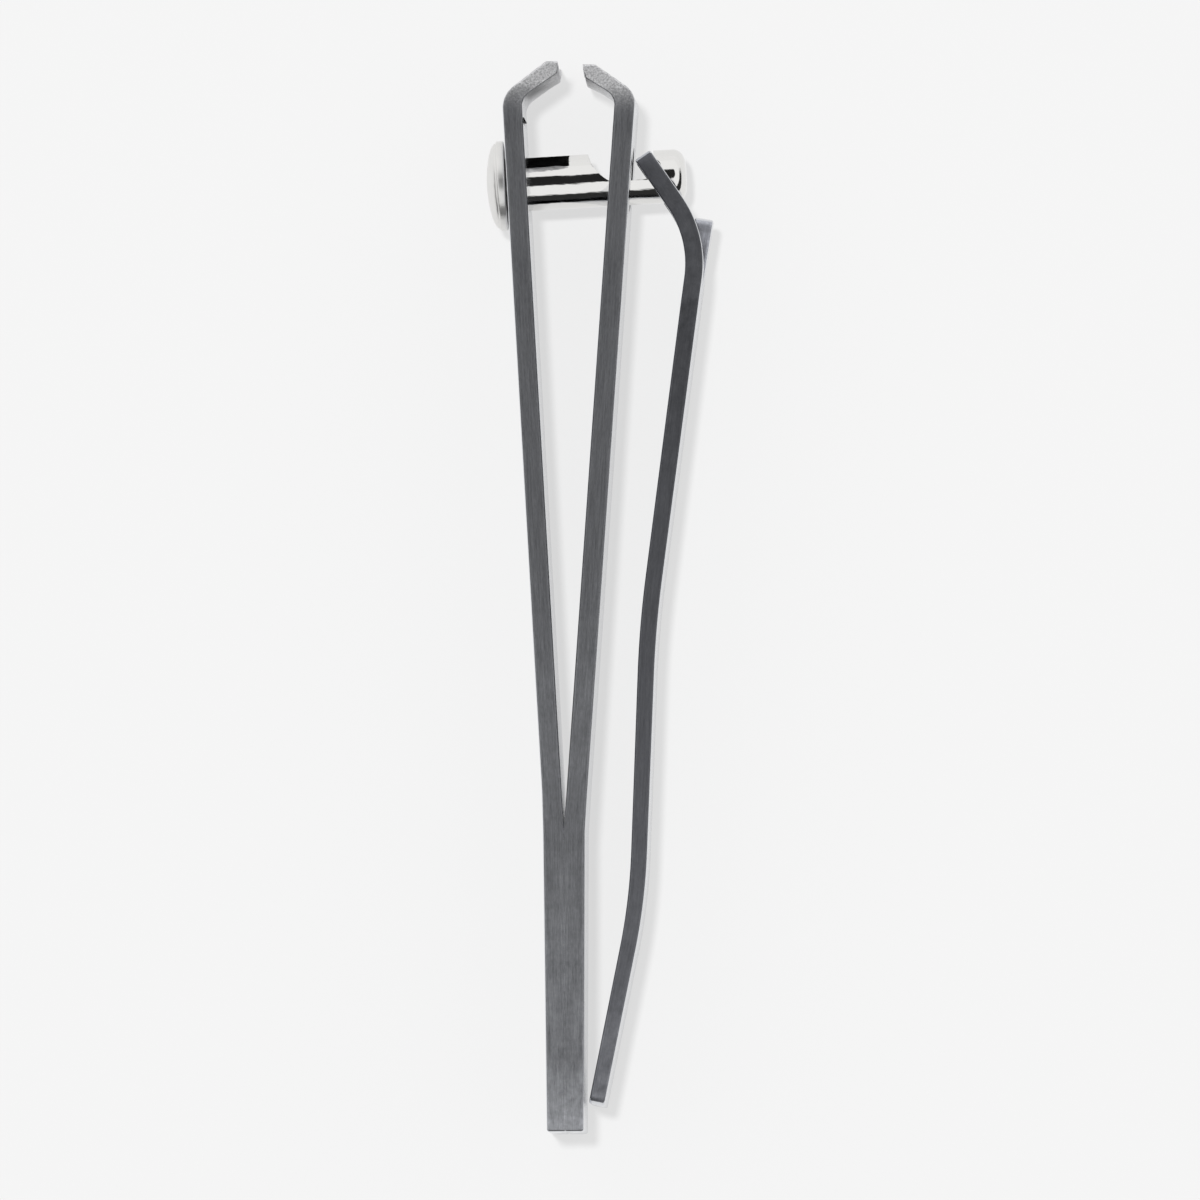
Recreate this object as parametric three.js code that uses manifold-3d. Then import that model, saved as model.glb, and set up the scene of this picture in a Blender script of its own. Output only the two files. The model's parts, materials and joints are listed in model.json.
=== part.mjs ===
// Compound-lever nail clipper, toenail size, lying on its side with the lever stored.
// Millimetres. +Y points to the jaws, +X to the lever and +Z up, across the width of the leaves.
import * as THREE from 'three';
import { mergeVertices } from 'three/addons/utils/BufferGeometryUtils.js';
import Module from 'manifold-3d';

const wasm = await Module();
wasm.setup();

// ---- leaves -------------------------------------------------------------------------------
const leafWidth = 14;
const tailLength = 22.4;          // from the root of the V to the tail end
const tailEndHalf = 1.38;         // one leaf's share of the tail, at its end
const rootHalf = 1.56;            // one leaf's share of the tail, at the root of the V
const rootBlendLength = 3;        // over which a leaf thins from rootHalf to its own stock
const tailCornerRadius = 0.4;     // rounding of the tail end, seen on the broad face
const lowerLeaf = { side: -1, splay: 3.0, stock: 1.47, bendAt: 54.92, bendRadius: 2.0 };
const upperLeaf = { side: 1, splay: 4.27, stock: 1.53, bendAt: 55.04, bendRadius: 1.6 };
const lowerJaw = { angle: 37.6, length: 4.15, rootThickness: 1.04, bevel: 0.86, edge: 0.43, lip: 0.54 };
const upperJaw = { angle: 35.4, length: 3.71, rootThickness: 1.04, bevel: 0.93, edge: 0.0, lip: 1.08 };
const innerBendRadius = 1.2;      // inside of the bend between leaf and jaw
const bevelRise = 0.02;           // of a bevel's inner end above its outer end
const edgeTilt = 8;               // degrees from straight down, towards the other jaw
const lipTilt = -11.6;            // the same, for the face behind the cutting edge
const jawNarrowing = 0.8;         // how much each end of a cutting edge stands in from the leaf's side
const jawShoulderDrop = 4.6;      // how far below the jaw tips the leaf starts to narrow

// ---- welds between the leaves --------------------------------------------------------------
const weldRadius = 2;
const weldHeight = 1.2;
const weldClearance = 0.3;
const weldInset = 5.5;            // rear weld's centre from the tail end
const weldPitch = 9;
const nuggetFlat = 0.6;           // share of a nugget's radius that is flat

// ---- post ----------------------------------------------------------------------------------
const postRadius = 2;
const postAt = 48.6;              // along the lower leaf's inner face, from the root of the V
const postHeadRadius = 3.35;
const postHeadRim = 0.65;
const postHeadHeight = 1.45;
const headFullness = 0.9;         // powers that set how full the head and the crown are
const crownFullness = 0.6;
const postHeadPlay = 0.19;        // axial play under the head
const pivotStandoff = 1.52;       // of the hook's seat centre from the upper leaf's outer face
const pivotOffset = 0.6;          // of the seat from the post's axis, towards the jaws
const hookThickness = 1.59;       // from the seat's centre to where the post's crown begins
const crownHeight = 1;
const notchRadius = 3.2;
const notchFloor = 0.62;          // depth of the notch past the post's axis
const notchSetback = 1.55;        // of the notch's centre below the seat's
const notchReach = 1.5;           // post radii that the notch's round is carried out to
const seatOverlap = 0.06;         // radians by which the notch's round runs into the seat's
const lipOverhang = 75;           // degrees of seat past the pull direction, on the jaw side
const lowerHoleClearance = 0.1;
const upperHoleClearance = 0.4;   // the post leans in this hole as the leaves close

// ---- lever ---------------------------------------------------------------------------------
const leverInset = 1;             // how far each side of the lever stands in from the leaves'
const noseWidth = 6.0;            // narrow enough to turn over the leaf below it
const leverFrontThickness = 1.38;
const leverEndThickness = 1.17;
const noseLength = 1.14;          // from the pivot to the cut end in front of it
const noseCornerRadius = 0.35;    // seen on the broad face, as the next is
const leverEndRadius = 1.4;
const leverEdgeRadius = 0.2;      // of the cut ends, seen from the side
const crossbarRadius = 0.68;
const seatClearance = 0.09;
const postSlotClearance = 0.3;    // each side of the post, between the rails
const leverEndInset = 2.0;        // of the lever's end from the tail end
const leverEndStandoff = 0.32;    // of the lever's end from the tail
// Each straight of the lever: its heading in degrees away from the leaves, and the way to its corner
// as a length plus a share of the reach from the pivot to the lever's end.
const leverRun = [
  { heading: 34.2, length: 7.5, share: 0, bend: 8.2 },
  { heading: -7.7, length: 0, share: 0.419, bend: 80 },
  { heading: -2.45, length: 0, share: 0.293, bend: 45 },
];
const tongueRoot = 4.8;           // behind the first corner, where the slits beside the tongue end
const tongueLength = 6.3;
const tongueRise = 1.5;           // degrees away from the lever's straight behind it
const tongueThickness = 1.37;
const slitWidth = 0.4;

// ---- finishes ------------------------------------------------------------------------------
const brushedSteel = { color: 0x85878c, roughness: 0.38, metalness: 1 };
const leverSteel = { color: 0x7b7d82, roughness: 0.36, metalness: 1 };
const platedSteel = { color: 0xcfd0d2, roughness: 0.12, metalness: 1 };
const weldSteel = { color: 0x6b6c70, roughness: 0.6, metalness: 1 };

const { degToRad } = THREE.MathUtils;
const arcStep = degToRad(12);
const roundSides = 48;
const domeSteps = 8;
const beyond = 150;               // further than any piece reaches, for cuts that go right through

// Turns a closed geometry into a solid that can be joined and cut.
function toSolid(geometry) {
  const bare = geometry.index ? geometry.toNonIndexed() : geometry.clone();
  bare.deleteAttribute('normal');
  bare.deleteAttribute('uv');
  const merged = mergeVertices(bare, 1e-5);
  return new wasm.Manifold(new wasm.Mesh({
    numProp: 3,
    vertProperties: new Float32Array(merged.attributes.position.array),
    triVerts: new Uint32Array(merged.index.array),
  }));
}

function toGeometry(solid) {
  const mesh = solid.getMesh();
  const geometry = new THREE.BufferGeometry();
  geometry.setAttribute('position', new THREE.BufferAttribute(new Float32Array(mesh.vertProperties), 3));
  geometry.setIndex(new THREE.BufferAttribute(new Uint32Array(mesh.triVerts), 1));
  geometry.computeVertexNormals();
  return geometry;
}

// A closed outline through corners [x, y, radius], each rounded by its radius.
function roundedOutline(corners) {
  const points = [];
  corners.forEach(([x, y, radius = 0], i) => {
    const corner = new THREE.Vector2(x, y);
    const before = new THREE.Vector2(...corners.at(i - 1)).sub(corner);
    const after = new THREE.Vector2(...corners[(i + 1) % corners.length]).sub(corner);
    points.push(...cornerArc(corner, before.normalize(), after.normalize(), radius));
  });
  return points;
}

// Points of the arc that rounds a corner, given unit directions to the points before and after.
function cornerArc(corner, before, after, radius) {
  if (!radius) return [corner];
  const half = before.angleTo(after) / 2;
  const reach = radius / Math.tan(half);
  const centre = before.clone().add(after).normalize().multiplyScalar(radius / Math.sin(half)).add(corner);
  const from = before.clone().multiplyScalar(reach).add(corner).sub(centre);
  const to = after.clone().multiplyScalar(reach).add(corner).sub(centre);
  const sweep = Math.atan2(from.cross(to), from.dot(to));
  const steps = Math.max(2, Math.ceil(Math.abs(sweep) / arcStep));
  return Array.from({ length: steps + 1 }, (_, k) => (
    from.clone().rotateAround(new THREE.Vector2(), sweep * (k / steps)).add(centre)
  ));
}

// An outline drawn on X and Y, extruded from low to high along Z.
function plate(outline, low, high) {
  const geometry = new THREE.ExtrudeGeometry(new THREE.Shape(outline), {
    depth: high - low, bevelEnabled: false, steps: 1,
  });
  return toSolid(geometry.translate(0, 0, low));
}

// An outline seen on the broad faces: its x runs from origin along heading and its y is Z.
function broadPlan(outline, origin = new THREE.Vector2(), heading = new THREE.Vector2(0, 1)) {
  const geometry = new THREE.ExtrudeGeometry(new THREE.Shape(outline), {
    depth: 2 * beyond, bevelEnabled: false, steps: 1,
  });
  const along = new THREE.Vector3(heading.x, heading.y, 0);
  const up = new THREE.Vector3(0, 0, 1);
  const matrix = new THREE.Matrix4().makeBasis(along, up, along.clone().cross(up));
  geometry.translate(0, 0, -beyond).applyMatrix4(matrix);
  return toSolid(geometry.translate(origin.x, origin.y, 0));
}

function roundBar(radius, from, to) {
  const direction = to.clone().sub(from);
  const geometry = new THREE.CylinderGeometry(radius, radius, direction.length(), roundSides);
  const upright = new THREE.Vector3(0, 1, 0);
  geometry.applyQuaternion(new THREE.Quaternion().setFromUnitVectors(upright, direction.normalize()));
  const middle = from.clone().add(to).multiplyScalar(0.5);
  return toSolid(geometry.translate(middle.x, middle.y, middle.z));
}

function part(name, solid, finish) {
  const mesh = new THREE.Mesh(toGeometry(solid), new THREE.MeshStandardMaterial(finish));
  mesh.name = name;
  return mesh;
}

// ---- shared places -------------------------------------------------------------------------
const leafTan = (leaf) => Math.tan(degToRad(leaf.splay));
const innerFaceX = (leaf, y) => leaf.side * leafTan(leaf) * y;
const outerFaceX = (leaf, y) => innerFaceX(leaf, y) + leaf.side * leaf.stock / Math.cos(degToRad(leaf.splay));

const postLean = degToRad(lowerLeaf.splay);            // the post stands square on the lower leaf
const postDirection = new THREE.Vector3(Math.cos(postLean), Math.sin(postLean), 0);
const jawDirection = new THREE.Vector3(-Math.sin(postLean), Math.cos(postLean), 0);
const postFoot = jawDirection.clone().multiplyScalar(postAt);
const onPost = (height, towardsJaws = 0) => postFoot.clone()
  .addScaledVector(postDirection, height)
  .addScaledVector(jawDirection, towardsJaws);
// Height on the post's axis of the upper leaf's inner face moved outwards by a distance.
function upperLeafHeight(outwards) {
  const gapAngle = degToRad(lowerLeaf.splay + upperLeaf.splay);
  return postAt * Math.tan(gapAngle) + outwards / Math.cos(gapAngle);
}

const pivotHeight = upperLeafHeight(upperLeaf.stock) + pivotStandoff;
const postShoulderHeight = pivotHeight + hookThickness;
const postHeight = postShoulderHeight + crownHeight;
const notchHeight = pivotHeight - notchSetback;
const pivot = onPost(pivotHeight, pivotOffset);
const leverWidth = leafWidth - 2 * leverInset;
const jawEdgeWidth = leafWidth - 2 * jawNarrowing;

// ---- tails ---------------------------------------------------------------------------------
const tailPlan = roundedOutline([
  [0, -leafWidth / 2],
  [0, leafWidth / 2],
  [-tailLength, leafWidth / 2, tailCornerRadius],
  [-tailLength, -leafWidth / 2, tailCornerRadius],
]);

// One leaf's share of the tail at a place along it.
function tailHalfAt(y) {
  return THREE.MathUtils.lerp(rootHalf, tailEndHalf, THREE.MathUtils.clamp(-y / tailLength, 0, 1));
}

function weldPlaces() {
  const rear = -tailLength + weldInset;
  return [rear + weldPitch, rear];
}

function leafTail(leaf) {
  const side = plate([
    new THREE.Vector2(0, 0),
    new THREE.Vector2(leaf.side * rootHalf, 0),
    new THREE.Vector2(leaf.side * tailEndHalf, -tailLength),
    new THREE.Vector2(0, -tailLength),
  ], -leafWidth / 2, leafWidth / 2);
  const pocketDepth = weldHeight / 2 + weldClearance;
  return weldPlaces().reduce((tail, y) => tail.subtract(roundBar(
    weldRadius + weldClearance,
    new THREE.Vector3(-pocketDepth, y, 0),
    new THREE.Vector3(pocketDepth, y, 0),
  )), side.intersect(broadPlan(tailPlan)));
}

// A nugget is a lens: a short round bar whose rim is half as high as its middle.
function weldNugget(y) {
  const flat = weldRadius * nuggetFlat;
  const profile = [
    [0, -weldHeight / 2], [flat, -weldHeight / 2], [weldRadius, -weldHeight / 4],
    [weldRadius, weldHeight / 4], [flat, weldHeight / 2], [0, weldHeight / 2],
  ].map(([r, h]) => new THREE.Vector2(r, h));
  const lens = new THREE.LatheGeometry(profile, roundSides).rotateZ(-Math.PI / 2);
  return toSolid(lens.translate(0, y, 0));
}

// ---- arms ----------------------------------------------------------------------------------
// The jaw's own corners, from the outer corner of the bend round the tip to the inner corner.
function jawCorners(leaf, jaw) {
  const rise = degToRad(jaw.angle);
  const along = new THREE.Vector2(-leaf.side * Math.cos(rise), Math.sin(rise));
  const inward = new THREE.Vector2(-leaf.side * Math.sin(rise), -Math.cos(rise));
  const outerCorner = new THREE.Vector2(outerFaceX(leaf, leaf.bendAt), leaf.bendAt);
  const below = (from, tilt, distance) => from.clone().addScaledVector(
    new THREE.Vector2(-leaf.side * Math.sin(degToRad(tilt)), -Math.cos(degToRad(tilt))),
    distance,
  );
  const shoulder = outerCorner.clone().addScaledVector(along, jaw.length);
  const crest = shoulder.clone().add(new THREE.Vector2(-leaf.side * jaw.bevel, bevelRise));
  const tip = below(crest, edgeTilt, jaw.edge);
  const lip = below(tip, lipTilt, jaw.lip);
  const innerLine = outerCorner.clone().addScaledVector(inward, jaw.rootThickness);
  const slope = (lip.y - innerLine.y) / (lip.x - innerLine.x);
  const innerY = (innerLine.y - slope * innerLine.x) / (1 - slope * leaf.side * leafTan(leaf));
  const innerCorner = [innerFaceX(leaf, innerY), innerY, innerBendRadius];
  const tipCorners = jaw.edge ? [[crest.x, crest.y], [tip.x, tip.y]] : [[crest.x, crest.y]];
  return [
    [outerCorner.x, outerCorner.y, leaf.bendRadius],
    [shoulder.x, shoulder.y], ...tipCorners, [lip.x, lip.y], innerCorner,
  ];
}

function leafArm(leaf, jaw, holeRadius) {
  const corners = jawCorners(leaf, jaw);
  const tipY = Math.max(...corners.map((corner) => corner[1]));
  const side = plate(roundedOutline([
    [0, 0],
    [leaf.side * rootHalf, 0],
    [outerFaceX(leaf, rootBlendLength), rootBlendLength],
    ...corners,
  ]), -leafWidth / 2, leafWidth / 2);
  const plan = roundedOutline([
    [0, -leafWidth / 2],
    [tipY - jawShoulderDrop, -leafWidth / 2, jawShoulderDrop],
    [tipY, -jawEdgeWidth / 2],
    [tipY, jawEdgeWidth / 2],
    [tipY - jawShoulderDrop, leafWidth / 2, jawShoulderDrop],
    [0, leafWidth / 2],
  ]);
  const lean = -leaf.side * degToRad(leaf.splay);
  const through = leaf === lowerLeaf ? postDirection : new THREE.Vector3(Math.cos(lean), Math.sin(lean), 0);
  const onAxis = leaf === lowerLeaf ? postFoot : onPost(upperLeafHeight(upperLeaf.stock / 2));
  const hole = roundBar(
    holeRadius,
    onAxis.clone().addScaledVector(through, -2 * leaf.stock),
    onAxis.clone().addScaledVector(through, 2 * leaf.stock),
  );
  return side.intersect(broadPlan(plan)).subtract(hole);
}

// ---- post ----------------------------------------------------------------------------------
// Turned about its own Y axis; the notch and the hook's seat are then cut from the jaw side, -X.
function postSolid() {
  const headBase = -lowerLeaf.stock - postHeadPlay;
  const headTop = headBase - postHeadHeight;
  const head = [new THREE.Vector2(0, headTop)];
  for (let k = 1; k <= domeSteps; k += 1) {
    const angle = (k / domeSteps) * (Math.PI / 2);
    const crown = postHeadHeight - postHeadRim;
    head.push(new THREE.Vector2(
      postHeadRadius * Math.sin(angle) ** headFullness,
      headTop + crown * (1 - Math.cos(angle)),
    ));
  }
  head.push(new THREE.Vector2(postHeadRadius, headBase), new THREE.Vector2(postRadius, headBase));
  const shoulder = [];
  for (let k = 0; k <= domeSteps; k += 1) {
    const angle = (k / domeSteps) * (Math.PI / 2);
    shoulder.push(new THREE.Vector2(
      k === domeSteps ? 0 : postRadius * Math.cos(angle) ** crownFullness,
      postShoulderHeight + (postHeight - postShoulderHeight) * Math.sin(angle),
    ));
  }
  const turned = toSolid(new THREE.LatheGeometry([...head, ...shoulder], roundSides));
  return turned.subtract(plate(notchOutline(), -2 * postRadius, 2 * postRadius));
}

// The notch is a round that dips past the axis and runs into the seat, which curls over at the lip.
function notchOutline() {
  const seatRadius = crossbarRadius + seatClearance;
  const notchCentreX = -(notchRadius - notchFloor);
  const arc = (x, y, radius, from, to) => {
    const steps = Math.ceil(Math.abs(to - from) / (arcStep / 2));
    return Array.from({ length: steps + 1 }, (_, k) => {
      const angle = from + (to - from) * (k / steps);
      return new THREE.Vector2(x + radius * Math.cos(angle), y + radius * Math.sin(angle));
    });
  };
  const outside = -notchReach * postRadius;
  const openAngle = -Math.acos((outside - notchCentreX) / notchRadius);
  const meetAngle = Math.asin((pivotHeight - notchHeight) / notchRadius) - seatOverlap;
  const lipAngle = Math.PI / 2 + degToRad(lipOverhang);
  const lip = new THREE.Vector2(
    -pivotOffset + seatRadius * Math.cos(lipAngle),
    pivotHeight + seatRadius * Math.sin(lipAngle),
  );
  return [
    ...arc(notchCentreX, notchHeight, notchRadius, openAngle, meetAngle),
    ...arc(-pivotOffset, pivotHeight, seatRadius, 0, lipAngle),
    new THREE.Vector2(outside, lip.y),
  ];
}

// ---- lever ---------------------------------------------------------------------------------
const headingVector = (degrees) => new THREE.Vector2(
  Math.sin(degToRad(degrees)),
  -Math.cos(degToRad(degrees)),
);

// Corners of the lever's centre line, from the nose to the end, about the pivot. The last straight
// turns in to the tail, to stop at the stand-off from it.
function leverCorners() {
  const endY = leverEndInset - tailLength;
  const endX = tailHalfAt(endY) + leverEndStandoff + leverEndThickness / 2;
  const corners = [headingVector(leverRun[0].heading).multiplyScalar(-noseLength)];
  for (const { heading, length, share } of leverRun) {
    const way = length + share * (pivot.y - endY);
    corners.push(corners.at(-1).clone().addScaledVector(headingVector(heading), way));
  }
  corners.push(new THREE.Vector2(endX - pivot.x, endY - pivot.y));
  return corners;
}

function leverCentreLine() {
  const corners = leverCorners();
  const line = [corners[0]];
  for (let i = 1; i < corners.length - 1; i += 1) {
    const before = corners[i - 1].clone().sub(corners[i]).normalize();
    const after = corners[i + 1].clone().sub(corners[i]).normalize();
    line.push(...cornerArc(corners[i], before, after, leverRun[i - 1].bend));
  }
  line.push(corners.at(-1));
  return line;
}

// A strip along a centre line, thinning evenly from one end to the other, with its ends' edges rounded.
function stripOutline(line, startThickness, endThickness, edgeRadius) {
  const lengths = [0];
  line.slice(1).forEach((point, i) => lengths.push(lengths[i] + point.distanceTo(line[i])));
  const sides = line.map((point, i) => {
    const ahead = line[Math.min(i + 1, line.length - 1)];
    const behind = line[Math.max(i - 1, 0)];
    const direction = ahead.clone().sub(behind).normalize();
    const half = THREE.MathUtils.lerp(startThickness, endThickness, lengths[i] / lengths.at(-1)) / 2;
    const radius = i === 0 || i === line.length - 1 ? edgeRadius : 0;
    return [half, -half].map((reach) => (
      [point.x - direction.y * reach, point.y + direction.x * reach, radius]
    ));
  });
  return roundedOutline([...sides.map((pair) => pair[0]), ...sides.map((pair) => pair[1]).reverse()]);
}

// Where the slits beside the tongue end, on the lever's centre line.
function slitEnd() {
  return leverCorners()[1].addScaledVector(headingVector(leverRun[1].heading), tongueRoot);
}

// The nose is narrow and widens evenly until the slits end.
function nosePlan() {
  const nose = leverCorners()[0];
  const heading = headingVector(leverRun[0].heading);
  const wideAt = slitEnd().sub(nose).dot(heading);
  return broadPlan(roundedOutline([
    [0, -noseWidth / 2, noseCornerRadius],
    [wideAt, -leverWidth / 2, leverWidth],
    [beyond, -leverWidth / 2],
    [beyond, leverWidth / 2],
    [wideAt, leverWidth / 2, leverWidth],
    [0, noseWidth / 2, noseCornerRadius],
  ]), nose, heading);
}

function leverEndPlan() {
  const [before, end] = leverCorners().slice(-2);
  return broadPlan(roundedOutline([
    [0, -leverWidth / 2, leverEndRadius],
    [0, leverWidth / 2, leverEndRadius],
    [-beyond, leverWidth / 2],
    [-beyond, -leverWidth / 2],
  ]), end, end.clone().sub(before).normalize());
}

// The tongue leaves the lever's straight where the slits end, and stops short of the post.
function tongueSolid(halfWidth) {
  const overlap = tongueThickness;
  const rise = headingVector(leverRun[1].heading - tongueRise).negate();
  const start = slitEnd().addScaledVector(rise, -overlap);
  const end = start.clone().addScaledVector(rise, tongueLength + overlap);
  return plate(
    stripOutline([start, end], tongueThickness, tongueThickness, leverEdgeRadius),
    -halfWidth,
    halfWidth,
  );
}

function leverSolid() {
  const slotHalf = postRadius + postSlotClearance;
  const strip = plate(
    stripOutline(leverCentreLine(), leverFrontThickness, leverEndThickness, leverEdgeRadius),
    -leverWidth / 2,
    leverWidth / 2,
  );
  const slotBack = slitEnd().y;
  const slot = plate([
    new THREE.Vector2(-beyond, slotBack), new THREE.Vector2(beyond, slotBack),
    new THREE.Vector2(beyond, beyond), new THREE.Vector2(-beyond, beyond),
  ], -slotHalf, slotHalf);
  const crossbar = roundBar(
    crossbarRadius,
    new THREE.Vector3(0, 0, -slotHalf - crossbarRadius),
    new THREE.Vector3(0, 0, slotHalf + crossbarRadius),
  );
  return strip.intersect(nosePlan()).intersect(leverEndPlan()).subtract(slot)
    .add(tongueSolid(slotHalf - slitWidth)).add(crossbar);
}

// ---- assembly ------------------------------------------------------------------------------
const clipper = new THREE.Group();
const [frontWeld, rearWeld] = weldPlaces();
clipper.add(
  part('lower_leaf_tail', leafTail(lowerLeaf), brushedSteel),
  part('upper_leaf_tail', leafTail(upperLeaf), brushedSteel),
  part('spot_weld_front', weldNugget(frontWeld), weldSteel),
  part('spot_weld_rear', weldNugget(rearWeld), weldSteel),
  part('lower_leaf_arm', leafArm(lowerLeaf, lowerJaw, postRadius + lowerHoleClearance), brushedSteel),
  part('upper_leaf_arm', leafArm(upperLeaf, upperJaw, postRadius + upperHoleClearance), brushedSteel),
);

const postGroup = new THREE.Group();
postGroup.position.copy(postFoot);
postGroup.rotation.z = postLean - Math.PI / 2;
postGroup.add(part('post', postSolid(), platedSteel));
clipper.add(postGroup);

const leverGroup = new THREE.Group();
leverGroup.position.copy(pivot);
leverGroup.add(part('lever', leverSolid(), leverSteel));
clipper.add(leverGroup);

// The origin is the middle of the whole object's box, on the surface it lies on.
clipper.updateMatrixWorld(true);
const box = new THREE.Box3().setFromObject(clipper, true);
const middle = box.getCenter(new THREE.Vector3());
clipper.position.set(-middle.x, -middle.y, -box.min.z);

export default clipper;
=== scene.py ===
import json
import math
import bpy
import numpy as np
from mathutils import Matrix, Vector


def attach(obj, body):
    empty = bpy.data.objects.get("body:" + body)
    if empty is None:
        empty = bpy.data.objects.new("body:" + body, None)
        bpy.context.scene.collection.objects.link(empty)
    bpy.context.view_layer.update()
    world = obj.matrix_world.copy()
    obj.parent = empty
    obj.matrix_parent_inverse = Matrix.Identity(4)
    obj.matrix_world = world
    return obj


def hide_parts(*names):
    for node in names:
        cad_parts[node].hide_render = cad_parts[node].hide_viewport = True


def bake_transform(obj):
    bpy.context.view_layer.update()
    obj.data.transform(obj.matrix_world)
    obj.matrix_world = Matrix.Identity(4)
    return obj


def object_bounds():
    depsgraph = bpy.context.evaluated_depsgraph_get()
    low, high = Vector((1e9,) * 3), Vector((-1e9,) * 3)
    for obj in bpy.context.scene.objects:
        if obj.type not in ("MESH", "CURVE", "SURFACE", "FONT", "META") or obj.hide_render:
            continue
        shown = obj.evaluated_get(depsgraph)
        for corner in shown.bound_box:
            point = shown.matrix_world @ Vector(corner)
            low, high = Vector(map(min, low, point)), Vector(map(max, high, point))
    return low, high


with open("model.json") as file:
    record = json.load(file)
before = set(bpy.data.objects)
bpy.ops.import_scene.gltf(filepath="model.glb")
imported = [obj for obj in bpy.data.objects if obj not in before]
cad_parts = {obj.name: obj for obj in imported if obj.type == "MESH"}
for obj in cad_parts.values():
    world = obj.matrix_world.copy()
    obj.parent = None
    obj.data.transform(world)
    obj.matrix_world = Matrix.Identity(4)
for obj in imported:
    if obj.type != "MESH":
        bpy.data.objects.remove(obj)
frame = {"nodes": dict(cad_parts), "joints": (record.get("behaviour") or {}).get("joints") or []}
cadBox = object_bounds()
joints = {joint["name"]: joint for joint in frame["joints"]}
mm = 0.001
print("stage: frame loaded")

# places that everything else is measured from, in millimetres
root = np.array(joints["lower_leaf_flex"]["pos_m"]) / mm       # where the leaves part
postFoot = np.array(joints["post_spin"]["pos_m"]) / mm
postAxis = np.array(joints["post_spin"]["axis"])
pivot = np.array(joints["lever_flip"]["pos_m"]) / mm
jawAxis = np.array([-postAxis[1], postAxis[0], 0.0])          # along the lower leaf, to the jaws
sharpAngle = math.radians(32)                                 # edges steeper than this stay sharp


def unit(vector):
    return vector / np.linalg.norm(vector, axis=-1, keepdims=True)


def cornerArc(before, corner, after, radius, count):
    # points of the arc that rounds a corner, from the side of before to the side of after
    a, b = unit(before - corner), unit(after - corner)
    half = math.acos(np.clip(a @ b, -1, 1)) / 2
    centre = corner + unit(a + b) * radius / math.sin(half)
    start = corner + a * radius / math.tan(half) - centre
    end = corner + b * radius / math.tan(half) - centre
    sweep = math.atan2(start[0] * end[1] - start[1] * end[0], start @ end)
    turn = np.linspace(0, sweep, count)
    cos, sin = np.cos(turn), np.sin(turn)
    return centre + np.stack([start[0] * cos - start[1] * sin, start[0] * sin + start[1] * cos], 1)


def straight(start, end, count):
    return start + (end - start) * np.linspace(0, 1, count)[:, None]


def joinRuns(runs):
    # runs of points end to end, each next one without its first point, which the last one ends on
    return np.concatenate([runs[0]] + [run[1:] for run in runs[1:]])


def roundedSection(across, up, corner):
    # a rounded rectangle as weights: x = x0 * (a - r) + xr * r and z = z0 * (b - r) + zr * r
    quarter = np.linspace(0, math.pi / 2, corner)
    wide = np.sin(np.linspace(-1, 1, across + 2)[1:-1] * math.pi / 2)    # closer together near the edges
    tall = np.sin(np.linspace(-1, 1, up + 2)[1:-1] * math.pi / 2)
    rows = []
    for turn, (sx, sz) in enumerate([(1, 1), (-1, 1), (-1, -1), (1, -1)]):
        angle = quarter + turn * math.pi / 2
        rows.append(np.stack([np.full(corner, sx), np.cos(angle), np.full(corner, sz), np.sin(angle)], 1))
        if turn % 2 == 0:       # the short sides, at the top and the bottom
            rows.append(np.stack([-sx * tall, 0 * tall, sz + 0 * tall, sz + 0 * tall], 1))
        else:                   # the broad faces
            rows.append(np.stack([sx + 0 * wide, sx + 0 * wide, -sz * wide, 0 * wide], 1))
    return np.concatenate(rows).T


def carrySection(inner, outer, halfWidth, middleZ, edge, inset, section, innerEdge=None):
    # each station's section spans from the inner to the outer line and is 2 * halfWidth wide
    x0, xr, z0, zr = section
    centre = (inner + outer) / 2
    outward = unit(outer - inner)
    half = np.linalg.norm(outer - inner, axis=1)[:, None] / 2 - inset[:, None]
    wide = halfWidth[:, None] - inset[:, None]
    if innerEdge is None:
        r = np.broadcast_to(edge, (len(inner), 1))
    else:
        r = np.where(x0 > 0, edge, innerEdge[:, None])
    r = np.minimum(r, 0.9 * np.minimum(half, wide))      # leaves a flat between the rounded edges
    across = x0 * (half - r) + xr * r
    points = centre[:, None, :] + outward[:, None, :] * across[..., None]
    return np.concatenate([points, (middleZ + z0 * (wide - r) + zr * r)[..., None]], 2)


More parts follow.
